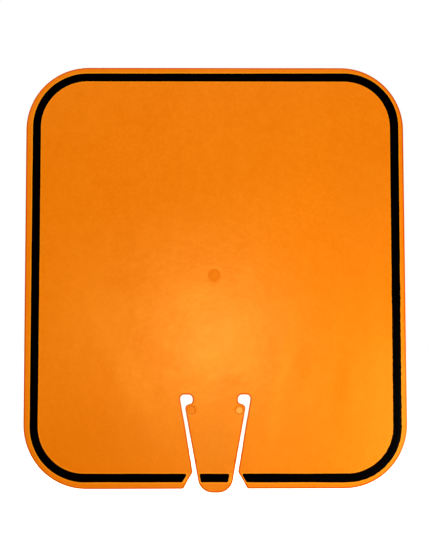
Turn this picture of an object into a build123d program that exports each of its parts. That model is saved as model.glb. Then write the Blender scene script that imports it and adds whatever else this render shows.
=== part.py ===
from build123d import *
import os
from math import radians, tan

# A clip-on sign blank for the top of a traffic cone: one moulded plate with a printed border and a
# spring tongue at the bottom. Millimetres. The plate stands upright: +X to the right, +Y from the
# front face to the back face, +Z up. Heights in this file are above the panel's bottom edge, and every
# piece is moved down by CLIP_HEIGHT at the end, so that the origin lies at the cone clip.

# Plate
PANEL_WIDTH = 275.6
PANEL_HEIGHT = 305.0
CORNER_RADIUS = 45.6
THICKNESS = 2.5
EDGE_ROUND = 0.5

# Tongue. Its sides lean outwards as they rise.
TONGUE_DROP = 2.8  # how far the tip hangs below the panel's bottom edge
TONGUE_FOOT = 11.26  # half width at the height of the panel's bottom edge
TONGUE_LEAN = 10.2  # degrees from vertical
TIP_RADIUS = 10.8
SHOULDER_RADIUS = 3.0

# Slots beside the tongue, each with a flared mouth below and a bulb above
SLOT_FOOT = 14.58  # from the centre line to the slot's outer wall, at the panel's bottom edge
SLOT_LEAN = 9.7
MOUTH_FOOT = 23.3
MOUTH_LEAN = -30.8
MOUTH_TIP_RADIUS = 2.0
MOUTH_THROAT_RADIUS = 2.0
BULB_TOP = 66.8
BULB_INNER = 16.07  # from the centre line to the bulb's inner wall
BULB_FLOOR_INNER = 60.35  # height of the bulb's floor at its inner wall
BULB_FLOOR_LEAN = -74.0
BULB_TOP_RADIUS = 3.3
BULB_FLOOR_RADIUS = 2.5
CLIP_HEIGHT = 63.4  # middle of the bulbs, where the bead of the cone's rim sits

# Living hinge: the stretch of the tongue that bends
FLEXURE_TOP = 51.5
FLEXURE_BOTTOM = 43.5

# Printed border, let into both faces so that it is flush
PRINT_DEPTH = 0.1
PRINT_EDGE_CLEARANCE = 2.5  # bare plastic between the print and a slot's mouth
BORDER_OUTER_WIDTH = 266.8
BORDER_OUTER_BOTTOM = 4.35
BORDER_OUTER_TOP = 300.9
BORDER_OUTER_RADIUS = 39.5
BORDER_INNER_WIDTH = 255.9
BORDER_INNER_BOTTOM = 10.05
BORDER_INNER_TOP = 295.4
BORDER_INNER_RADIUS = 34.0

# Moulding marks
MARK_DEPTH = 0.15
CENTRE_MARK_RADIUS = 5.0
CENTRE_MARK_HEIGHT = 153.0
EJECTOR_RADIUS = 3.1
EJECTOR_PLACE = (16.9, 55.4)
GATE_DIMPLE_RADIUS = 4.0
GATE_DIMPLE_DEPTH = 0.5
GATE_STUB_RADIUS = 1.2
GATE_STUB_HEIGHT = 0.3

FRONT = -THICKNESS / 2
BACK = THICKNESS / 2
BELOW_EVERYTHING = -20.0


def tongue_side(height):
    return TONGUE_FOOT + height * tan(radians(TONGUE_LEAN))


def slot_outer_wall(height):
    return SLOT_FOOT + height * tan(radians(SLOT_LEAN))


def mouth_wall(height):
    return MOUTH_FOOT + height * tan(radians(MOUTH_LEAN))


def crossing(foot_a, lean_a, foot_b, lean_b):
    """Where two walls meet, each given by its half width at height 0 and its lean."""
    height = (foot_b - foot_a) / (tan(radians(lean_a)) - tan(radians(lean_b)))
    return foot_a + height * tan(radians(lean_a)), height


def mirrored(corners):
    """A right half's corners, followed by the same corners on the left in reverse order."""
    return corners + [(-x, z, radius) for x, z, radius in reversed(corners)]


def outline_face(corners):
    """The upright face whose outline goes through (x, z, radius) corners."""
    points = [(x, 0, z) for x, z, _ in corners]
    radii = [radius for _, _, radius in corners]
    return make_face(FilletPolyline(points, radius=radii, close=True))


def plate_between(face, y_low, y_high):
    """The solid over an upright face, from y_low to y_high."""
    return Pos(0, y_low, 0) * extrude(face, amount=y_high - y_low, dir=(0, 1, 0))


def upright_disc(x, z, radius, y_low, y_high):
    middle = (y_low + y_high) / 2
    return Pos(x, middle, z) * Rot(90, 0, 0) * Cylinder(radius, y_high - y_low)


def moulding_corners():
    """The moulding's right half, from the tongue's tip, round the slot, to the panel's top."""
    floor_foot = BULB_INNER - BULB_FLOOR_INNER * tan(radians(BULB_FLOOR_LEAN))
    shoulder = crossing(TONGUE_FOOT, TONGUE_LEAN, floor_foot, BULB_FLOOR_LEAN)
    throat = crossing(SLOT_FOOT, SLOT_LEAN, MOUTH_FOOT, MOUTH_LEAN)
    return [
        (tongue_side(-TONGUE_DROP), -TONGUE_DROP, TIP_RADIUS),
        (*shoulder, SHOULDER_RADIUS),
        (BULB_INNER, BULB_FLOOR_INNER, BULB_FLOOR_RADIUS),
        (BULB_INNER, BULB_TOP, BULB_TOP_RADIUS),
        (slot_outer_wall(BULB_TOP), BULB_TOP, BULB_TOP_RADIUS),
        (*throat, MOUTH_THROAT_RADIUS),
        (MOUTH_FOOT, 0, MOUTH_TIP_RADIUS),
        (PANEL_WIDTH / 2, 0, CORNER_RADIUS),
        (PANEL_WIDTH / 2, PANEL_HEIGHT, CORNER_RADIUS),
    ]


def rounded_frame(width, bottom, top, radius):
    return outline_face(mirrored([(width / 2, bottom, radius), (width / 2, top, radius)]))


def border_prints():
    """The faces of the panel's border stripe and of the tongue's short piece of it."""
    outer = rounded_frame(BORDER_OUTER_WIDTH, BORDER_OUTER_BOTTOM, BORDER_OUTER_TOP, BORDER_OUTER_RADIUS)
    inner = rounded_frame(BORDER_INNER_WIDTH, BORDER_INNER_BOTTOM, BORDER_INNER_TOP, BORDER_INNER_RADIUS)
    stripe = outer - inner
    low, high = 0, 2 * BORDER_INNER_BOTTOM
    clip_gap = outline_face(mirrored([
        (mouth_wall(low) + PRINT_EDGE_CLEARANCE, low, 0),
        (mouth_wall(high) + PRINT_EDGE_CLEARANCE, high, 0),
    ]))
    tongue_zone = outline_face(mirrored([
        (tongue_side(low) - PRINT_EDGE_CLEARANCE, low, 0),
        (tongue_side(high) - PRINT_EDGE_CLEARANCE, high, 0),
    ]))
    return stripe - clip_gap, stripe & tongue_zone


def slot_zone(bottom, top):
    """The block between the middles of the two slots, from one height to another."""
    def middle(height):
        return (tongue_side(height) + slot_outer_wall(height)) / 2

    face = outline_face(mirrored([(middle(bottom), bottom, 0), (middle(top), top, 0)]))
    return plate_between(face, -THICKNESS, THICKNESS)


def bare_moulding():
    """The whole plate and tongue in one, with rounded edges and the moulding marks."""
    plate = plate_between(outline_face(mirrored(moulding_corners())), FRONT, BACK)
    rims = plate.faces().filter_by(Axis.Y).edges()
    plate = fillet(rims, EDGE_ROUND)
    plate -= upright_disc(0, CENTRE_MARK_HEIGHT, CENTRE_MARK_RADIUS, FRONT, FRONT + MARK_DEPTH)
    for side in (-1, 1):
        x, z = side * EJECTOR_PLACE[0], EJECTOR_PLACE[1]
        plate -= upright_disc(x, z, EJECTOR_RADIUS, FRONT, FRONT + MARK_DEPTH)
    dimple_floor = BACK - GATE_DIMPLE_DEPTH
    plate -= upright_disc(0, CENTRE_MARK_HEIGHT, GATE_DIMPLE_RADIUS, dimple_floor, BACK)
    stub_top = dimple_floor + GATE_STUB_HEIGHT
    plate += upright_disc(0, CENTRE_MARK_HEIGHT, GATE_STUB_RADIUS, dimple_floor, stub_top)
    return plate


def build():
    panel_print, tongue_print = border_prints()
    pieces = {
        "panel_border_front": plate_between(panel_print, FRONT, FRONT + PRINT_DEPTH),
        "panel_border_back": plate_between(panel_print, BACK - PRINT_DEPTH, BACK),
        "tongue_border_front": plate_between(tongue_print, FRONT, FRONT + PRINT_DEPTH),
        "tongue_border_back": plate_between(tongue_print, BACK - PRINT_DEPTH, BACK),
    }
    moulding = bare_moulding()
    for inlay in list(pieces.values()):
        moulding -= inlay
    pieces["sign_panel"] = moulding - slot_zone(BELOW_EVERYTHING, FLEXURE_TOP)
    pieces["tongue_flexure"] = moulding & slot_zone(FLEXURE_BOTTOM, FLEXURE_TOP)
    pieces["clip_tongue"] = moulding & slot_zone(BELOW_EVERYTHING, FLEXURE_BOTTOM)
    return pieces


os.makedirs("parts", exist_ok=True)
for name, piece in build().items():
    export_step(Pos(0, 0, -CLIP_HEIGHT) * piece, f"parts/{name}.step")
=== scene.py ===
"""The looks of a clip-on sign blank for a traffic cone: an orange moulded plate with a printed black
border and a spring tongue. Metres, in the CAD's frame: +X right, +Y from front to back, +Z up.
A point on the sign's face is a complex number here: x + i z."""

import cmath
import math

import bmesh
import bpy
import numpy as np
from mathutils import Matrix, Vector, noise
from mathutils.geometry import delaunay_2d_cdt


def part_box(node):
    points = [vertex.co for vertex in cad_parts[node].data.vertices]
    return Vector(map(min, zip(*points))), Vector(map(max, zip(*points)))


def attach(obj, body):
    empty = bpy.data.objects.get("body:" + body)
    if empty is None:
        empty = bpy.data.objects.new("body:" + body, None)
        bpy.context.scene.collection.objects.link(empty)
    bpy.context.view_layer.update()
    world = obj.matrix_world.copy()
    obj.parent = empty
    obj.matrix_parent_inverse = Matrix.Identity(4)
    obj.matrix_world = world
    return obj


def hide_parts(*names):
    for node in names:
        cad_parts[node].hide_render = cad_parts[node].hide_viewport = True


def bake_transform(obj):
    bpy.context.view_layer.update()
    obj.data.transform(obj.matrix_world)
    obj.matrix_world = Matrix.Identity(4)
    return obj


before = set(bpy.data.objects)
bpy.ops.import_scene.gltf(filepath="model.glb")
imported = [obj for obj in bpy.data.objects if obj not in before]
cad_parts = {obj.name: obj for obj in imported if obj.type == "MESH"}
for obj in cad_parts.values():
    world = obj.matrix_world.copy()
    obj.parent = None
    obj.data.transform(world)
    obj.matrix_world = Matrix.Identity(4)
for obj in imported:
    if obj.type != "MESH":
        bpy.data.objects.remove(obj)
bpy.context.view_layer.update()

MM = 0.001

# Places that the frame gives
panel_low, panel_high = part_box("sign_panel")
BOTTOM = panel_low.z  # the panel's bottom edge
TOP = panel_high.z
HALF_WIDTH = panel_high.x
FRONT = panel_low.y
BACK = panel_high.y
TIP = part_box("clip_tongue")[0].z
GATE = complex(0, BOTTOM + 153.0 * MM)  # where the plastic was injected, at the middle of the back

# The moulding's outline, as in the CAD. Heights are above the panel's bottom edge, leans in degrees.
CORNER_RADIUS = 45.6 * MM
EDGE_ROUND = 0.55 * MM  # a little more than the CAD's
TONGUE_FOOT = 11.26 * MM
TONGUE_LEAN = 10.2
TIP_RADIUS = 10.8 * MM
SHOULDER_RADIUS = 3.0 * MM
SLOT_FOOT = 14.58 * MM
SLOT_LEAN = 9.7
MOUTH_FOOT = 23.3 * MM
MOUTH_LEAN = -30.8
MOUTH_RADIUS = 2.0 * MM
BULB_TOP = 66.8 * MM
BULB_INNER = 16.07 * MM
BULB_FLOOR = 60.35 * MM
BULB_FLOOR_LEAN = -74.0
BULB_TOP_RADIUS = 3.3 * MM
BULB_FLOOR_RADIUS = 2.5 * MM
NECK_SEAM = 62.9 * MM  # where the plate's mesh ends and the tongue's begins
PARTING_LINE = 0.05 * MM  # how far the mould's witness line stands out of the side wall
PARTING_HALF_WIDTH = 0.12 * MM
RIM_WIDTH = 1.5 * MM  # how far in from the outline the painted edge highlight and shade reach

# The moulding's flash: how far it stands outside the true outline
SIDE_FLASH = 0.13 * MM
CLIP_FLASH = 0.28 * MM  # in the slots
TOP_FLASH = 0.38 * MM  # at the middle of the top edge
BOTTOM_FLASH = 0.55 * MM  # at the middle of the bottom edge
TOP_TILT = 0.32 * MM  # how much more it is at the left end of the top edge, and less at the right end
BOTTOM_TILT = 0.14 * MM  # the same for the bottom edge
MOUTH_HEIGHT = 6 * MM  # how far up the slots the bottom edge's flash goes on

# The printed border
BORDER_OUTER = (133.4 * MM, 4.35 * MM, 300.9 * MM, 39.5 * MM)  # half width, bottom, top, radius
BORDER_INNER = (127.95 * MM, 10.05 * MM, 295.4 * MM, 34.0 * MM)
PRINT_CLEARANCE = 2.5 * MM  # bare plastic between the print and a slot's mouth
PRINT_END_RADIUS = 0.8 * MM
FRONT_BORDER_SHIFT = 0.4 * MM  # the front's print isn't quite in register: to the right is positive
FRONT_CLIP_SHIFT = -0.5 * MM  # the same for its gap at the clip and for the tongue's stripe
FRONT_TURN = -0.10  # degrees: anticlockwise, seen from the front, is positive
INK_SPREAD = 0.25 * MM  # how far the wet ink crept past its true line
INK_SPREAD_RIGHT = 0.8  # how much further it crept at the right edge, as a share of that
INK_WANDER = 0.08 * MM  # how unevenly it crept
INK_WAVES = 60  # per metre, in the slow part of that unevenness
INK_FRAYS = 420  # per metre, in the fast part
FRAY_SHARE = 0.7  # how strong the fast part is beside the slow one
LOWER_RIGHT_FRAY = 0.9  # how much is added to that share at the lower right
LOWER_RIGHT_WANDER = 2  # how much more uneven the ink is at the lower right, as a share
INK_HEIGHT = 0.03 * MM
INK_BEVEL = 0.05 * MM
INK_ROOT = 0.06 * MM  # how deep the ink's underside lies in the plate, so that no gap shows

# Moulding marks
GATE_MARK = GATE - 0.7 * MM  # the front's mark is a little off centre
GATE_MARK_RADIUS = 4.8 * MM
GATE_MARK_DEPTH = 0.06 * MM
GATE_MARK_SOFTNESS = 0.7 * MM
MARK_DEPTH = 0.15 * MM
MARK_SOFTNESS = 0.22 * MM  # half the width of the slope round a mark
EJECTOR_RADIUS = 3.1 * MM
EJECTORS = [complex(side * 17.3 * MM, BOTTOM + 55.4 * MM) for side in (-1, 1)]
NICKS = [  # small dark spots: place, radius, strength
    (complex(-22 * MM, BOTTOM + 71.5 * MM), 0.8 * MM, 0.7),
    (complex(12.5 * MM, BOTTOM + 64 * MM), 1.6 * MM, 0.25),
    (GATE_MARK + complex(2.6 * MM, 4.3 * MM), 1.5 * MM, 0.16),
]
DIMPLE_RADIUS = 4.0 * MM
DIMPLE_DEPTH = 0.5 * MM
STUB_RADIUS = 1.2 * MM
STUB_HEIGHT = 0.3 * MM
STUB_SLOPE = 0.15 * MM
FAINT_RING_RADIUS = 12.3 * MM  # a faint ring round the gate mark

# The slow waves of a cooled plate
WARP = 0.12 * MM
WARP_WAVES = 11  # per metre
WARP_RIPPLE = 0.35  # how strong the shorter waves are beside the long ones
RIPPLE_WAVES = 2.7  # how many shorter waves there are to a long one
WARP_SEED = 0.7

# Mesh density
OUTLINE_STEP = 3.0 * MM
INK_STEP = 0.9 * MM
ARC_STEP = 0.35 * MM
PLATE_GRID = 4.0 * MM
TONGUE_GRID = 2.5 * MM
RING_POINTS = 40
SEAM_POINTS = 13
EDGE_STEPS = 6  # round a rounded edge
MAX_ARC_TURN = math.radians(3)
MIN_ARC_STEPS = 4
RING_CLEARANCE = 0.25 * MM  # between a mark's mesh and the face's edge
EDGE_GAP = 0.45  # between a grid and the face's edge, as a share of the grid's spacing
GRID_GAP = 0.4  # the same between a grid and the marks and points that it surrounds
MERGE_DISTANCE = 1e-8
TRIANGLES_INSIDE = 1  # what the triangulation gives back
SHARP_ANGLE = math.radians(40)

# The gate mark's, ejector marks', stub's and dimple's rings of vertices, as shares of their radius
GATE_MARK_RINGS = (0.18, 0.34, 0.5, 0.65, 0.8, 0.9, 0.96, 1.0, 1.04, 1.1)
EJECTOR_RINGS = (0.3, 0.6, 0.85, 0.93, 1.0, 1.07, 1.15)
STUB_RINGS = (0.5, 0.8, 1.0, 1.06, 1.13, 1.3)
DIMPLE_RINGS = (0.5, 0.7, 0.85, 0.94, 0.97, 1.0, 1.03, 1.06, 1.2)


# ------------------------------------------------------------------ outlines

def leaning(foot, lean, height):
    """How far from the centre line a leaning wall is, at a height above the panel's bottom edge."""
    return foot + height * math.tan(math.radians(lean))


def crossing(foot_a, lean_a, foot_b, lean_b):
    """Where two leaning walls meet."""
    slopes = math.tan(math.radians(lean_a)) - math.tan(math.radians(lean_b))
    height = (foot_b - foot_a) / slopes
    return leaning(foot_a, lean_a, height), height


def mirrored(corners):
    """A right half's corners, followed by the left half's in reverse order."""
    return corners + [(-x, height, radius) for x, height, radius in reversed(corners)]


def moulding_corners():
    """(x, height, radius) corners of the plate and tongue together, anticlockwise from the tip."""
    floor_foot = leaning(BULB_INNER, BULB_FLOOR_LEAN, -BULB_FLOOR)
    shoulder = crossing(TONGUE_FOOT, TONGUE_LEAN, floor_foot, BULB_FLOOR_LEAN)
    throat = crossing(SLOT_FOOT, SLOT_LEAN, MOUTH_FOOT, MOUTH_LEAN)
    drop = TIP - BOTTOM
    return mirrored([
        (leaning(TONGUE_FOOT, TONGUE_LEAN, drop), drop, TIP_RADIUS),
        (*shoulder, SHOULDER_RADIUS),
        (BULB_INNER, BULB_FLOOR, BULB_FLOOR_RADIUS),
        (BULB_INNER, NECK_SEAM, 0),
        (BULB_INNER, BULB_TOP, BULB_TOP_RADIUS),
        (leaning(SLOT_FOOT, SLOT_LEAN, BULB_TOP), BULB_TOP, BULB_TOP_RADIUS),
        (*throat, MOUTH_RADIUS),
        (MOUTH_FOOT, 0, MOUTH_RADIUS),
        (HALF_WIDTH, 0, CORNER_RADIUS),
        (HALF_WIDTH, TOP - BOTTOM, CORNER_RADIUS),
    ])


def stripe_corners(clip_shift):
    """The border stripe on the panel: round the outside, then back round the inside."""
    loops = []
    for half_width, low, high, radius in (BORDER_OUTER, BORDER_INNER):
        end = leaning(MOUTH_FOOT, MOUTH_LEAN, low) + PRINT_CLEARANCE
        loops.append([
            (clip_shift + end, low, PRINT_END_RADIUS),
            (half_width, low, radius),
            (half_width, high, radius),
            (-half_width, high, radius),
            (-half_width, low, radius),
            (clip_shift - end, low, PRINT_END_RADIUS),
        ])
    outer, inner = loops
    return outer + inner[::-1]


def tongue_print_corners(clip_shift):
    """The short piece of the border on the tongue."""
    low, high = BORDER_OUTER[1], BORDER_INNER[1]
    low_end = leaning(TONGUE_FOOT, TONGUE_LEAN, low) - PRINT_CLEARANCE
    high_end = leaning(TONGUE_FOOT, TONGUE_LEAN, high) - PRINT_CLEARANCE
    return [
        (clip_shift + low_end, low, PRINT_END_RADIUS),
        (clip_shift + high_end, high, PRINT_END_RADIUS),
        (clip_shift - high_end, high, PRINT_END_RADIUS),
        (clip_shift - low_end, low, PRINT_END_RADIUS),
    ]


def corner_arc(before, here, after, radius):
    """(point, inward normal) pairs round one corner of an anticlockwise outline."""
    arriving = (here - before) / abs(here - before)
    leaving = (after - here) / abs(after - here)
    if radius == 0:
        return [(here, 1j * leaving)]
    turn = cmath.phase(leaving / arriving)
    side = math.copysign(1, turn)
    start = here - arriving * radius * math.tan(abs(turn) / 2)
    centre = start + 1j * arriving * side * radius
    step = max(ARC_STEP, radius * MAX_ARC_TURN)
    count = max(MIN_ARC_STEPS, math.ceil(radius * abs(turn) / step))
    arc = []
    for k in range(count + 1):
        heading = arriving * cmath.exp(1j * turn * k / count)
        arc.append((centre - 1j * heading * side * radius, 1j * heading))
    return arc


def rounded_loop(corners, step):
    """Points and inward normals, as arrays, along a closed outline with rounded corners."""
    places = [complex(x, BOTTOM + height) for x, height, _ in corners]
    arcs = []
    for i, (_, _, radius) in enumerate(corners):
        arcs.append(corner_arc(places[i - 1], places[i], places[(i + 1) % len(places)], radius))
    points, normals = [], []
    for arc, following in zip(arcs, arcs[1:] + arcs[:1]):
        points += [point for point, _ in arc]
        normals += [normal for _, normal in arc]
        gap = following[0][0] - arc[-1][0]
        count = max(1, math.ceil(abs(gap) / step))
        points += [arc[-1][0] + gap * k / count for k in range(1, count)]
        normals += [arc[-1][1]] * (count - 1)
    return np.array(points), np.array(normals)


def split_at_neck(points, normals):
    """The plate's loop and the tongue's loop. Both cross the neck on the same straight seam."""
    seam = BOTTOM + NECK_SEAM
    right = int(np.argmin(abs(points - complex(BULB_INNER, seam))))
    left = int(np.argmin(abs(points - complex(-BULB_INNER, seam))))
    across = np.linspace(RIM_WIDTH - BULB_INNER, BULB_INNER - RIM_WIDTH, SEAM_POINTS)
    seam_points = across + 1j * seam
    seam_normals = -across / BULB_INNER + 0j  # an inset shrinks the seam sideways only
    plate = (
        np.concatenate([points[right:left + 1], seam_points]),
        np.concatenate([normals[right:left + 1], seam_normals]),
    )
    tongue = (
        np.concatenate([points[left:], points[:right + 1], seam_points[::-1]]),
        np.concatenate([normals[left:], normals[:right + 1], seam_normals[::-1]]),
    )
    return plate, tongue


def smoothstep(low, high, value):
    """0 below low, 1 above high, and a smooth rise between them."""
    t = min(1, max(0, (value - low) / (high - low)))
    return t * t * (3 - 2 * t)


def flash(point):
    """How far the moulding's flash stands outside its true outline, at a point on it."""
    height = point.imag - BOTTOM
    in_clip = abs(point.real) < MOUTH_FOOT
    low = 1 - smoothstep(0, MOUTH_HEIGHT if in_clip else CORNER_RADIUS, height)
    high = smoothstep(TOP - BOTTOM - CORNER_RADIUS, TOP - BOTTOM, height)
    across = point.real / HALF_WIDTH
    wall = (1 - low - high) * (CLIP_FLASH if in_clip else SIDE_FLASH)
    return wall + low * (BOTTOM_FLASH - BOTTOM_TILT * across) + high * (TOP_FLASH - TOP_TILT * across)


def spread(points, normals, seed):
    """The loop as the ink left it: outside its line, and uneven, mostly at the lower right."""
    moved = []
    for point, normal in zip(points, normals):
        place = Vector((point.real, seed, point.imag))
        right = max(0, point.real / HALF_WIDTH)
        ragged = right ** 2 * (1 - smoothstep(BOTTOM, TOP, point.imag))
        fray = (FRAY_SHARE + LOWER_RIGHT_FRAY * ragged) * noise.noise(place * INK_FRAYS)
        uneven = noise.noise(place * INK_WAVES) + fray
        crept = INK_SPREAD * (1 + INK_SPREAD_RIGHT * right)
        crept += INK_WANDER * (1 + LOWER_RIGHT_WANDER * ragged) * uneven
        moved.append(point - normal * crept)
    return np.array(moved), normals


# ------------------------------------------------------------------ relief

def warp(point):
    """The plate's slow waves, the same for both faces and for the ink on them."""
    place = Vector((point.real * WARP_WAVES, WARP_SEED, point.imag * WARP_WAVES))
    return WARP * (noise.noise(place) + WARP_RIPPLE * noise.noise(place * RIPPLE_WAVES))


def recess(point, centre, radius, depth, soft=MARK_SOFTNESS):
    """A shallow round recess, whose rim slopes over twice soft."""
    return depth * (1 - smoothstep(radius - soft, radius + soft, abs(point - centre)))


def front_relief(point):
    """How far the front face lies behind its own plane."""
    depth = recess(point, GATE_MARK, GATE_MARK_RADIUS, GATE_MARK_DEPTH, GATE_MARK_SOFTNESS)
    for centre in EJECTORS:
        depth += recess(point, centre, EJECTOR_RADIUS, MARK_DEPTH)
    return depth


def back_relief(point):
    """How far the back face lies in front of its own plane."""
    stub = STUB_HEIGHT * (1 - smoothstep(STUB_RADIUS, STUB_RADIUS + STUB_SLOPE, abs(point - GATE)))
    return recess(point, GATE, DIMPLE_RADIUS, DIMPLE_DEPTH) - stub


# ------------------------------------------------------------------ meshes

def edge_distance(places, loop):
    """How far each place is inside a closed loop. Places outside it get a negative distance."""
    start, end = loop, np.roll(loop, -1)
    along = end - start
    offset = places[:, None] - start[None, :]
    share = np.clip((offset * along.conj()).real / np.abs(along) ** 2, 0, 1)
    distance = np.abs(offset - share * along).min(axis=1)
    rises = (start.imag > places.imag[:, None]) != (end.imag > places.imag[:, None])
    drop = np.where(along.imag == 0, 1, along.imag)
    crossing_x = start.real + (places.imag[:, None] - start.imag) * along.real / drop
    inside = (rises & (places.real[:, None] < crossing_x)).sum(axis=1) % 2 == 1
    return np.where(inside, distance, -distance)


def grid_inside(loop, spacing, marks):
    """Grid points inside a loop, kept clear of its edge and of the (centre, radius) marks."""
    xs = np.arange(loop.real.min(), loop.real.max(), spacing)
    zs = np.arange(loop.imag.min(), loop.imag.max(), spacing)
    xs += (loop.real.max() - xs[-1]) / 2
    places = (xs[:, None] + 1j * zs[None, :]).ravel()
    places = places[edge_distance(places, loop) > EDGE_GAP * spacing]
    for centre, radius in marks:
        places = places[abs(places - centre) > radius]
    return places


def mark_rings(centre, radii):
    """Points on circles round a moulding mark, and its middle."""
    spokes = np.exp(2j * math.pi * np.arange(RING_POINTS) / RING_POINTS)
    turned = spokes * cmath.exp(1j * math.pi / RING_POINTS)
    rings = [radius * (spokes if k % 2 else turned) for k, radius in enumerate(radii)]
    return np.concatenate([[centre], *[centre + ring for ring in rings]])


def fill_face(bm, border, extra, y, relief, rim):
    """Fills a face inside a ring of vertices, through the extra points."""
    border_places = [complex(v.co.x, v.co.z) for v in border]
    places = border_places + list(extra)
    flat = [Vector((p.real, p.imag)) for p in places]
    count = len(border)
    edges = [(i, (i + 1) % count) for i in range(count)]
    filled = delaunay_2d_cdt(flat, edges, [], TRIANGLES_INSIDE, MERGE_DISTANCE)
    _, _, triangles, sources, _, _ = filled
    made = list(border) + [None] * len(extra)
    vertices = []
    for source in sources:
        i = source[0]
        if made[i] is None:
            depth = relief(places[i])
            made[i] = bm.verts.new((places[i].real, y + warp(places[i]) + depth, places[i].imag))
            made[i][rim] = 0
        vertices.append(made[i])
    faces = [bm.faces.new([vertices[i] for i in triangle]) for triangle in triangles]
    bmesh.ops.join_triangles(
        bm, faces=faces, angle_face_threshold=math.radians(5), angle_shape_threshold=math.radians(40),
    )


def make_slab(name, loop, rings, front_extra=(), back_extra=(), reliefs=(None, None)):
    """A closed plate over an outline. rings are (inset, y) from the front face to the back face.
    The vertex attribute rim is 1 at the outline and falls to 0 RIM_WIDTH inside it."""
    points, normals = loop
    flat = [relief or (lambda point: 0) for relief in reliefs]
    on_outline = abs(abs(normals) - 1) < 1e-6  # the seam at the neck has shorter normals
    bm = bmesh.new()
    rim = bm.verts.layers.float.new("rim")
    tiers = []
    for inset, y in rings:
        tier = []
        for point, outer in zip(points + inset * normals, on_outline):
            vertex = bm.verts.new((point.real, y + warp(point), point.imag))
            vertex[rim] = (1 - max(0, inset) / RIM_WIDTH) * outer
            tier.append(vertex)
        tiers.append(tier)
    for upper, lower in zip(tiers, tiers[1:]):
        for i in range(len(upper)):
            k = (i + 1) % len(upper)
            bm.faces.new((upper[i], lower[i], lower[k], upper[k]))
    fill_face(bm, tiers[0], front_extra, rings[0][1], flat[0], rim)
    fill_face(bm, tiers[-1], back_extra, rings[-1][1], lambda p: -flat[1](p), rim)
    bmesh.ops.recalc_face_normals(bm, faces=bm.faces)
    for face in bm.faces:
        face.smooth = True
    for edge in bm.edges:
        if edge.calc_face_angle(0) > SHARP_ANGLE:
            edge.smooth = False
    mesh = bpy.data.meshes.new(name)
    bm.to_mesh(mesh)
    bm.free()
    piece = bpy.data.objects.new(name, mesh)
    bpy.context.scene.collection.objects.link(piece)
    return piece


def moulding_rings():
    """The side wall's section: a rounded edge, a parting line at mid thickness, a rounded edge."""
    front = []
    for k in range(EDGE_STEPS + 1):
        angle = math.pi / 2 * k / EDGE_STEPS
        front.append((EDGE_ROUND * (1 - math.sin(angle)), FRONT + EDGE_ROUND * (1 - math.cos(angle))))
    middle = (FRONT + BACK) / 2
    parting = [
        (0, middle - PARTING_HALF_WIDTH),
        (-PARTING_LINE, middle),
        (0, middle + PARTING_HALF_WIDTH),
    ]
    back = [(inset, FRONT + BACK - y) for inset, y in reversed(front)]
    return front + parting + back


def moulding_piece(name, loop, spacing, front_marks, back_marks):
    """A piece of the moulding, with its faces' marks given as (centre, ring radii)."""
    points, normals = loop
    face_edge = points + EDGE_ROUND * normals
    support = points + RIM_WIDTH * normals
    on_seam = abs(points.imag - (BOTTOM + NECK_SEAM)) < 0.01 * MM
    support = support[~on_seam]
    margin = GRID_GAP * spacing
    extras = []
    for marks in (front_marks, back_marks):
        zones = [(centre, max(radii) + margin) for centre, radii in marks]
        grid = grid_inside(face_edge, spacing, zones)
        grid = grid[edge_distance(grid, face_edge) > RIM_WIDTH - EDGE_ROUND + margin]
        rings = [mark_rings(centre, radii) for centre, radii in marks]
        rings = [ring[edge_distance(ring, face_edge) > RING_CLEARANCE] for ring in rings]
        clear = support
        for centre, radius in zones:
            clear = clear[abs(clear - centre) > max(0, radius - margin)]
        extras.append(np.concatenate([clear, grid, *rings]))
    return make_slab(
        name, loop, moulding_rings(), extras[0], extras[1], (front_relief, back_relief)
    )


def ink_piece(name, corners, shift, turn, face, outward):
    """A layer of ink on a face, shifted sideways and turned about the face's middle. outward is -1 on
    the front and 1 on the back."""
    points, normals = rounded_loop(corners, INK_STEP)
    turned = cmath.exp(1j * math.radians(turn))
    loop = spread(GATE + (points + shift - GATE) * turned, normals * turned, outward)
    surface = face + outward * INK_HEIGHT
    rings = [
        (INK_BEVEL, surface),
        (0, surface - outward * 0.5 * INK_HEIGHT),
        (0, face - outward * INK_ROOT),
    ]
    return make_slab(name, loop, rings)


def build_moulding():
    points, normals = rounded_loop(moulding_corners(), OUTLINE_STEP)
    proud = np.array([flash(point) for point in points])
    plate_loop, tongue_loop = split_at_neck(points - proud * normals, normals)
    gate_radii = [share * GATE_MARK_RADIUS for share in GATE_MARK_RINGS]
    ejector_radii = [share * EJECTOR_RADIUS for share in EJECTOR_RINGS]
    stub_radii = [share * STUB_RADIUS for share in STUB_RINGS]
    dimple_radii = [share * DIMPLE_RADIUS for share in DIMPLE_RINGS]
    plate = moulding_piece(
        "plate", plate_loop, PLATE_GRID,
        [(GATE_MARK, gate_radii)],
        [(GATE, stub_radii + dimple_radii)],
    )
    tongue = moulding_piece(
        "spring_tongue", tongue_loop, TONGUE_GRID,
        [(centre, ejector_radii) for centre in EJECTORS],
        [],
    )
    return plate, tongue


# ------------------------------------------------------------------ materials

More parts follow.
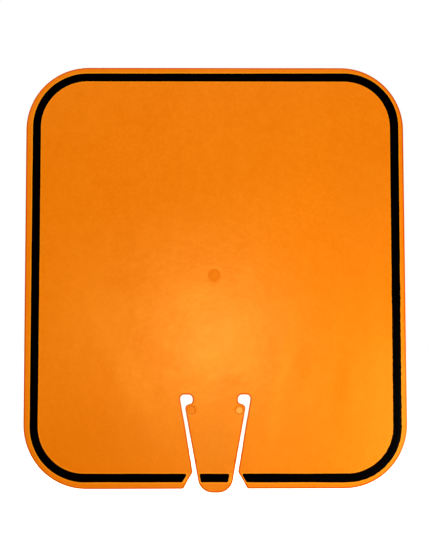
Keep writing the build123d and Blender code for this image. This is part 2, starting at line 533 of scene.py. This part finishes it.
class Shader:
    """A new material's node tree, with short ways to add nodes."""

    def __init__(self, name):
        self.material = bpy.data.materials.new(name)
        self.material.use_nodes = True
        self.tree = self.material.node_tree
        self.principled = self.tree.nodes["Principled BSDF"]
        coordinates = self.tree.nodes.new("ShaderNodeTexCoord")
        self.place = coordinates.outputs["Object"]

    def add(self, kind, inputs=None, **settings):
        """A new node, with its inputs set or linked."""
        made = self.tree.nodes.new("ShaderNode" + kind)
        for key, value in settings.items():
            setattr(made, key, value)
        for key, value in (inputs or {}).items():
            self.put(made.inputs[key], value)
        return made

    def put(self, socket, value):
        """Links another node's output to a socket, or sets the socket to a constant."""
        if isinstance(value, bpy.types.NodeSocket):
            self.tree.links.new(value, socket)
        else:
            socket.default_value = value

    def math(self, operation, a, b=0.0):
        return self.add("Math", {0: a, 1: b}, operation=operation).outputs[0]

    def times(self, *factors):
        """The product of two or more values."""
        product = factors[-1]
        for factor in factors[-2::-1]:
            product = self.math("MULTIPLY", factor, product)
        return product

    def noise(self, size, detail=3.0, roughness=0.5):
        """Noise from 0 to 1, whose blobs are about size across."""
        inputs = {"Vector": self.place, "Scale": 1 / size, "Detail": detail, "Roughness": roughness}
        return self.add("TexNoise", inputs).outputs["Fac"]

    def band(self, value, low, high, to_low=0.0, to_high=1.0):
        """A smooth change from to_low to to_high, as the value goes from low to high."""
        inputs = {"Value": value, "From Min": low, "From Max": high, "To Min": to_low, "To Max": to_high}
        return self.add("MapRange", inputs, interpolation_type="SMOOTHSTEP").outputs["Result"]

    def mix(self, factor, a, b):
        """From colour a, where the factor is 0, to colour b, where it is 1."""
        made = self.add("Mix", data_type="RGBA")
        self.put(made.inputs[0], factor)
        self.put(made.inputs[6], a)
        self.put(made.inputs[7], b)
        return made.outputs[2]

    def distance_from(self, point):
        """Distance in the face's plane from a point on it."""
        flat = self.add("VectorMath", {0: self.place, 1: (1, 0, 1)}, operation="MULTIPLY").outputs[0]
        target = (point.real, 0, point.imag)
        return self.add("VectorMath", {0: flat, 1: target}, operation="DISTANCE").outputs["Value"]

    def weigh(self, *parts):
        """The sum of (value, weight) parts."""
        total = 0.0
        for value, weight in parts:
            total = self.math("ADD", self.times(value, weight), total)
        return total

    def drawn(self, width, length):
        """Noise from 0 to 1 whose blobs are drawn out upright, along Z."""
        scale = (1 / width, 1 / width, 1 / length)
        place = self.add("Mapping", {"Vector": self.place, "Scale": scale}).outputs[0]
        return self.add("TexNoise", {"Vector": place, "Scale": 1.0, "Detail": 2.0}).outputs["Fac"]

    def disturbed(self, size, reach):
        """The place on the object, pushed about by up to reach."""
        blobs = self.add("TexNoise", {"Vector": self.place, "Scale": 1 / size}).outputs["Color"]
        push = self.add("VectorMath", {0: blobs, 1: (0.5, 0.5, 0.5)}, operation="SUBTRACT").outputs[0]
        push = self.add("VectorMath", {0: push, "Scale": 2 * reach}, operation="SCALE").outputs[0]
        return self.add("VectorMath", {0: self.place, 1: push}, operation="ADD").outputs[0]

    def patch(self, place, x, height, half_width, half_length, lean):
        """A soft oval on the face, 1 in its middle. Sizes in mm. Its top leans right by lean degrees."""
        inputs = {
            "Vector": place,
            "Location": (x * MM, 0, BOTTOM + height * MM),
            "Rotation": (0, math.radians(lean), 0),
            "Scale": (half_width * MM, 1, half_length * MM),
        }
        local = self.add("Mapping", inputs, vector_type="TEXTURE").outputs[0]
        reach = self.add("VectorMath", {0: local}, operation="LENGTH").outputs["Value"]
        return self.band(reach, PATCH_REACH, PATCH_CORE)

    def from_stripe(self, shift, turn):
        """Distance outwards from the middle line of the border stripe, shifted and turned as it is."""
        half_width, low, high, radius = [(a + b) / 2 for a, b in zip(BORDER_OUTER, BORDER_INNER)]
        inputs = {
            "Vector": self.place,
            "Location": (GATE.real + shift, 0, GATE.imag),
            "Rotation": (0, -math.radians(turn), 0),
        }
        place = self.add("Mapping", inputs, vector_type="TEXTURE").outputs[0]
        parts = self.add("SeparateXYZ", {0: place}).outputs
        up = self.math("SUBTRACT", parts[2], BOTTOM + (low + high) / 2 - GATE.imag)
        beyond = self.math("SUBTRACT", self.math("ABSOLUTE", parts[0]), half_width - radius)
        above = self.math("SUBTRACT", self.math("ABSOLUTE", up), (high - low) / 2 - radius)
        corner = {0: self.math("MAXIMUM", beyond, 0.0), 1: self.math("MAXIMUM", above, 0.0)}
        corner = self.add("CombineXYZ", corner).outputs[0]
        outside = self.add("VectorMath", {0: corner}, operation="LENGTH").outputs["Value"]
        inside = self.math("MINIMUM", self.math("MAXIMUM", beyond, above), 0.0)
        return self.math("SUBTRACT", self.math("ADD", outside, inside), radius)

    def ring(self, reach, radius, width):
        """1 on a circle, falling to 0 at half a width either side of it."""
        off = self.math("ABSOLUTE", self.math("SUBTRACT", reach, radius))
        return self.band(off, width / 2, 0)

    def specks(self, spacing, size, share):
        """Sparse dots, in about this share of the cells of a loose pattern."""
        parts = self.add("SeparateXYZ", {0: self.place}).outputs
        flat = self.add("CombineXYZ", {0: parts[0], 1: parts[2]}).outputs[0]
        inputs = {"Vector": flat, "Scale": 1 / spacing}
        cells = self.add("TexVoronoi", inputs, voronoi_dimensions="2D").outputs
        dot = self.band(cells["Distance"], size / spacing, 0.3 * size / spacing)
        luck = self.add("SeparateColor", {0: cells["Color"]}).outputs[0]
        return self.times(dot, self.math("LESS_THAN", luck, share))

    def bump(self, height, depth, below=None):
        """The normal over a relief of this depth, which may lie on another bump."""
        inputs = {"Height": height, "Strength": 1.0, "Distance": depth}
        if below is not None:
            inputs["Normal"] = below
        return self.add("Bump", inputs).outputs["Normal"]

    def finish(self, **inputs):
        """Sets the surface's inputs, named with _ for each space, and gives the material."""
        for key, value in inputs.items():
            self.put(self.principled.inputs[key.replace("_", " ")], value)
        return self.material


def colour(red, green, blue):
    return (red, green, blue, 1.0)


ORANGE = colour(0.83, 0.167, 0.0005)
ORANGE_LIGHT = colour(0.93, 0.221, 0.0054)
ORANGE_EDGE_HIGHLIGHT = colour(0.76, 0.320, 0.0010)  # painted highlight on the outermost line of each face, where its rounded edge catches light
ORANGE_RIM_SHADE = colour(0.70, 0.040, 0.0001)  # painted shade: a darker line inside that
# painted shade: the duller, deeper orange of the lower part and the upper right
ORANGE_PAINTED_SHADE = colour(0.71, 0.178, 0.0090)
ORANGE_HALO = colour(1.0, 0.290, 0.0060)  # beside the front's stripe
ORANGE_MARK = colour(0.78, 0.148, 0.0008)
ORANGE_RING = colour(0.68, 0.108, 0.0005)
ORANGE_PALE = colour(0.95, 0.330, 0.0500)
SPECK = colour(0.42, 0.085, 0.0030)

# Painted highlight and shade as soft patches on the front: paler ones paint highlight, deeper ones paint
# shade, as at the lower left. x, height, half width, half length (mm), lean (degrees), and how much
# paler (+) or deeper (-) each is
LIGHT_AND_SHADE_PATCHES = [
    (-14, 138, 17, 15, 0, 0.40),
    (23, 152, 8, 14, -8, 0.26),
    (-6, 91, 15, 13, 0, 0.20),
    (22, 89, 10, 8, 0, 0.28),
    (-57, 75, 11, 58, -31, 0.42),
    (47, 74, 6, 52, 11, 0.40),
    (41, 42, 8, 9, 0, 0.25),
    (64, 68, 9, 13, 0, 0.24),
    (112, 62, 22, 40, 0, 0.15),
    (-67, 148, 26, 10, 0, -0.26),
    (-36, 92, 12, 8, 0, -0.26),
    (12, 74, 14, 16, 20, -0.44),
    (4, 60, 12, 12, 0, -0.25),
    (42, 98, 10, 34, 5, -0.28),
    (63, 84, 7, 18, 5, -0.28),
    (91, 72, 8, 38, 5, -0.34),
    (-75, 22, 75, 42, 0, -0.45),
    (-97, 136, 40, 52, 0, 0.36),
]

# Painted shade as duller, deeper patches towards the bottom and at the upper right: the same, with their
# strength
PAINTED_SHADE_PATCHES = [
    (10, 30, 110, 50, 0, 0.25),
    (2, 22, 18, 40, 0, 0.35),
    (115, 190, 40, 70, 0, 0.25),
]

# Where a patch ends, and where it reaches its full strength, as shares of its half width and length
PATCH_REACH = 1.4
PATCH_CORE = 0.1

# How strongly each mark colours the plastic
DISC_STRENGTH = 0.85
MIDDLE_STRENGTH = 0.35  # what is left of that in the paler middle of the gate mark
FAINT_RING_STRENGTH = 0.35
# painted shade at the back dimple's sloping rim, over its gate blush
DIMPLE_BLUSH_AND_SHADE = 0.7
SPECK_STRENGTH = 0.38
INNER_HALO_STRENGTH = 0.45  # the halo inside the stripe, beside the one outside it
PLASTIC_ROUGHNESS = 0.27
MARK_ROUGHNESS = 0.22  # how much rougher the gate mark is


def orange_with_painted_light(s, on_front):
    """The plastic's own colour, uneven at every scale, plus painted light on the front: paler patches of
    painted highlight, deeper patches of painted shade, and duller painted shade towards the bottom and
    at the upper right.
    """
    cloud = s.band(s.noise(55 * MM, 2.0), 0.35, 0.65)
    streaks = s.band(s.drawn(14 * MM, 50 * MM), 0.3, 0.7)
    mottle = s.band(s.noise(8 * MM, 3.0, 0.6), 0.3, 0.7)
    fine = s.band(s.noise(2.0 * MM, 2.0), 0.3, 0.7)
    tone = s.weigh((cloud, 0.15), (streaks, 0.08), (mottle, 0.20), (fine, 0.26), (1.0, 0.15))
    place = s.disturbed(16 * MM, 4 * MM)
    # painted highlight and shade: the front's patches lighten or deepen the tone
    ovals = [(s.patch(place, *shape), strength) for *shape, strength in LIGHT_AND_SHADE_PATCHES]
    tone = s.math("ADD", tone, s.times(s.weigh(*ovals), on_front))
    base = s.mix(tone, ORANGE, ORANGE_LIGHT)
    # painted shade: duller patches towards the bottom and at the upper right
    for *shape, strength in PAINTED_SHADE_PATCHES:
        base = s.mix(s.times(s.patch(place, *shape), on_front, strength), base, ORANGE_PAINTED_SHADE)
    return base


def marked(s, base, on_front, disc, gate, wobble):
    """The moulding marks, nicks and specks over a base colour. disc is the gate mark's shape, and gate
    the distance from its middle. An ejector mark has a tinted middle and a darker ring. The back's
    dimple gets a darker ring, which is gate blush and painted shade of its sloping rim."""
    paler_middle = s.band(gate, 0.8 * GATE_MARK_RADIUS, 0.25 * GATE_MARK_RADIUS, 1, MIDDLE_STRENGTH)
    marks = [
        (s.times(disc, paler_middle), ORANGE_MARK),
        (s.times(s.ring(gate, FAINT_RING_RADIUS, 1.0 * MM), FAINT_RING_STRENGTH), ORANGE_MARK),
    ]
    for centre, middle, strength in ((EJECTORS[0], ORANGE_MARK, 0.8), (EJECTORS[1], ORANGE_PALE, 1.0)):
        reach = s.math("ADD", s.distance_from(centre), s.times(wobble, 0.3))
        marks.append((s.band(reach, 0.82 * EJECTOR_RADIUS, 0.62 * EJECTOR_RADIUS, 0, strength), middle))
        marks.append((s.ring(reach, 0.92 * EJECTOR_RADIUS, 1.3 * MM), ORANGE_RING))
    for centre, radius, strength in NICKS:
        marks.append((s.band(s.distance_from(centre), radius, 0.2 * radius, 0, strength), SPECK))
    for shape, tint in marks:
        base = s.mix(s.times(shape, on_front), base, tint)
    on_back = s.math("SUBTRACT", 1.0, on_front)
    # painted shade, with gate blush: a darker ring on the back where the dimple's rim slopes
    dimple_blush_and_shade = s.ring(s.distance_from(GATE), DIMPLE_RADIUS, 1.6 * MM)
    base = s.mix(s.times(dimple_blush_and_shade, on_back, DIMPLE_BLUSH_AND_SHADE), base, ORANGE_MARK)
    specks = s.specks(22 * MM, 0.5 * MM, 0.3)
    return s.mix(s.times(specks, SPECK_STRENGTH), base, SPECK)


def edged(s, base, on_front):
    """The paler plastic beside the front's stripe, and painted light along each face's outline: a
    painted highlight on the outermost line and a line of painted shade inside it.
    """
    beside = s.from_stripe(FRONT_BORDER_SHIFT, FRONT_TURN)
    halo = s.band(s.math("ABSOLUTE", beside), 4.0 * MM, 3.4 * MM)
    halo = s.times(halo, s.band(beside, -1 * MM, 1 * MM, INNER_HALO_STRENGTH, 1.0))
    base = s.mix(s.times(halo, on_front), base, ORANGE_HALO)
    rim = s.add("Attribute", attribute_name="rim").outputs["Fac"]
    # painted shade just inside each outline, then a painted highlight on the outline itself
    base = s.mix(s.band(rim, 0.24, 0.38), base, ORANGE_RIM_SHADE)
    base = s.mix(s.band(rim, 0.72, 0.84), base, ORANGE_EDGE_HIGHLIGHT)
    return s.mix(s.band(rim, 0.955, 0.985), base, ORANGE)  # the side wall


def moulded_skin(s):
    """The normal over the plastic's grain, texture, orange peel and waves, finest first."""
    grain = s.bump(s.noise(0.5 * MM, 2.0), 0.002 * MM)
    texture = s.bump(s.noise(2.2 * MM, 2.0), 0.028 * MM, grain)
    peel = s.bump(s.noise(7 * MM, 3.0), 0.09 * MM, texture)
    return s.bump(s.noise(26 * MM, 2.0), 0.25 * MM, peel)


def orange_plastic():
    s = Shader("orange_plastic")
    depth = s.add("SeparateXYZ", {0: s.place}).outputs[1]
    on_front = s.band(depth, 0.5 * BACK, 0.5 * FRONT)
    wobble = s.times(s.math("SUBTRACT", s.noise(5 * MM), 0.5), 1.5 * MM)
    gate = s.math("ADD", s.distance_from(GATE_MARK), wobble)
    disc = s.band(gate, 1.15 * GATE_MARK_RADIUS, 0.72 * GATE_MARK_RADIUS, 0, DISC_STRENGTH)
    base = marked(s, orange_with_painted_light(s, on_front), on_front, disc, gate, wobble)
    dull = s.times(disc, on_front, MARK_ROUGHNESS)
    roughness = s.weigh((s.noise(12 * MM, 4.0, 0.6), 0.08), (dull, 1.0), (1.0, PLASTIC_ROUGHNESS))
    return s.finish(
        Base_Color=edged(s, base, on_front), Roughness=roughness, Normal=moulded_skin(s),
        Specular_IOR_Level=0.55, Specular_Tint=colour(1, 0.6, 0.13),
    )


def black_ink():
    s = Shader("black_ink")
    tone = s.noise(4 * MM, 4.0, 0.6)
    base = s.mix(tone, colour(0.0006, 0.0006, 0.0006), colour(0.0020, 0.0018, 0.0016))
    roughness = s.math("ADD", 0.5, s.times(s.noise(2 * MM), 0.15))
    skin = s.bump(s.noise(0.4 * MM, 2.0), 0.004 * MM)
    return s.finish(Base_Color=base, Roughness=roughness, Normal=skin, Specular_IOR_Level=0.02)


def floor_paint():
    s = Shader("floor_paint")
    tone = s.noise(0.3, 2.0)
    base = s.mix(tone, colour(0.9, 0.9, 0.9), colour(0.93, 0.93, 0.93))
    return s.finish(Base_Color=base, Roughness=0.9)


# ------------------------------------------------------------------ stage

FLOOR_DROP = 80 * MM  # the cone's top holds the sign above the floor
FLOOR_REACH = 12  # from the floor's middle to its sides
SHOWN_WHITE = 1.002  # how bright the world looks to the camera
WORLD_LIGHT = 0.36  # and how brightly it lights the sign
BLACK_LEVEL = 0.004  # anything darker reads as black


def make_floor():
    bm = bmesh.new()
    bmesh.ops.create_grid(bm, x_segments=8, y_segments=8, size=FLOOR_REACH)
    mesh = bpy.data.meshes.new("floor")
    bm.to_mesh(mesh)
    bm.free()
    floor = bpy.data.objects.new("floor", mesh)
    floor.location.z = TIP - FLOOR_DROP
    floor.visible_diffuse = False  # the floor throws no light up at the sign
    floor.data.materials.append(floor_paint())
    bpy.context.scene.collection.objects.link(floor)
    return floor


def aim(thing, target):
    """Turns a light's face to a target."""
    thing.rotation_mode = "QUATERNION"
    thing.rotation_quaternion = (Vector(target) - thing.location).to_track_quat("-Z", "Y")


def softbox(name, place, target, size, power):
    """A square light, unseen by the camera. Metres and watts."""
    light = bpy.data.lights.new(name, "AREA")
    light.size = size
    light.energy = power
    box = bpy.data.objects.new(name, light)
    box.location = place
    aim(box, target)
    box.visible_camera = False
    bpy.context.scene.collection.objects.link(box)


def zenith(power, floor):
    """An overhead light for the floor alone, in which the sign still casts its shadow."""
    light = bpy.data.lights.new("zenith", "SUN")
    light.energy = power
    light.angle = math.radians(10)
    sun = bpy.data.objects.new("zenith", light)
    bpy.context.scene.collection.objects.link(sun)
    lit = bpy.data.collections.new("floor_only")
    lit.objects.link(floor)
    sun.light_linking.receiver_collection = lit


def make_world():
    """A plain white background, which lights the sign less brightly than it looks."""
    world = bpy.data.worlds.new("studio")
    world.use_nodes = True
    tree = world.node_tree
    shown = tree.nodes["Background"]
    shown.inputs["Color"].default_value = colour(1, 1, 1)
    shown.inputs["Strength"].default_value = SHOWN_WHITE
    lighting = tree.nodes.new("ShaderNodeBackground")
    lighting.inputs["Color"].default_value = colour(1, 1, 1)
    lighting.inputs["Strength"].default_value = WORLD_LIGHT
    rays = tree.nodes.new("ShaderNodeLightPath")
    choice = tree.nodes.new("ShaderNodeMixShader")
    tree.links.new(rays.outputs["Is Camera Ray"], choice.inputs[0])
    tree.links.new(lighting.outputs[0], choice.inputs[1])
    tree.links.new(shown.outputs[0], choice.inputs[2])
    tree.links.new(choice.outputs[0], tree.nodes["World Output"].inputs["Surface"])
    bpy.context.scene.world = world


CAMERA_DISTANCE = 0.70
CAMERA_PITCH = 3.458  # degrees, looking up
CAMERA_ROLL = 0.104
CAMERA_YAW = -0.143
CAMERA_LENS = 62.09
CAMERA_PLACE = Vector((-0.0019, -CAMERA_DISTANCE, GATE.imag - 0.0460))


def make_camera():
    data = bpy.data.cameras.new("camera")
    data.lens = CAMERA_LENS
    data.sensor_width = 36
    camera = bpy.data.objects.new("camera", data)
    camera.location = CAMERA_PLACE
    camera.rotation_euler = (
        math.radians(90 + CAMERA_PITCH), math.radians(CAMERA_ROLL), math.radians(CAMERA_YAW)
    )
    bpy.context.scene.collection.objects.link(camera)
    bpy.context.scene.camera = camera


def make_lights(floor):
    middle = GATE.imag
    softbox("glow", (0, -0.72, middle - 0.05), (0, 0, middle - 0.05), 0.03, 1.05)
    softbox("key", (0.28, -0.25, middle - 0.14), (0.10, 0, middle - 0.12), 0.12, 0.58)
    softbox("kicker", (0.22, -0.12, middle - 0.12), (0.12, 0, middle - 0.12), 0.12, 0.088)
    softbox("left_fill", (-0.35, -0.50, middle + 0.45), (-0.10, 0, middle + 0.10), 0.3, 0.81)
    softbox("top_fill", (0.10, -0.70, middle + 0.60), (0, 0, middle), 0.4, 1.66)
    softbox("back", (-0.30, 0.90, middle + 0.35), (0, 0, middle), 0.5, 5.5)
    zenith(2.8, floor)


def set_view():
    view = bpy.context.scene.view_settings
    view.view_transform = "Standard"
    view.look = "None"
    view.use_curve_mapping = True
    view.curve_mapping.black_level = (BLACK_LEVEL, BLACK_LEVEL, BLACK_LEVEL)
    view.curve_mapping.update()


# ------------------------------------------------------------------ assembly

def paint(piece, material):
    piece.data.materials.clear()
    piece.data.materials.append(material)


def assemble():
    plastic, ink = orange_plastic(), black_ink()
    plate, tongue = build_moulding()
    for piece in (plate, tongue):
        paint(piece, plastic)
    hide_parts("sign_panel")
    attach(plate, "panel")
    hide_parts("tongue_flexure", "clip_tongue")
    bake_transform(tongue)
    for side, face, outward, shift, clip_shift, turn in (
        ("front", FRONT, -1, FRONT_BORDER_SHIFT, FRONT_CLIP_SHIFT, FRONT_TURN),
        ("back", BACK, 1, 0, 0, 0),
    ):
        stripe = stripe_corners(clip_shift - shift)
        short_stripe = tongue_print_corners(clip_shift)
        border = ink_piece(f"border_print_{side}", stripe, shift, turn, face, outward)
        short = ink_piece(f"tongue_print_{side}", short_stripe, 0, turn, face, outward)
        for piece, node, body in (
            (border, f"panel_border_{side}", "panel"),
            (short, f"tongue_border_{side}", "tongue"),
        ):
            paint(piece, ink)
            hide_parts(node)
            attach(piece, body)


make_camera()
make_world()
make_lights(make_floor())
set_view()
assemble()
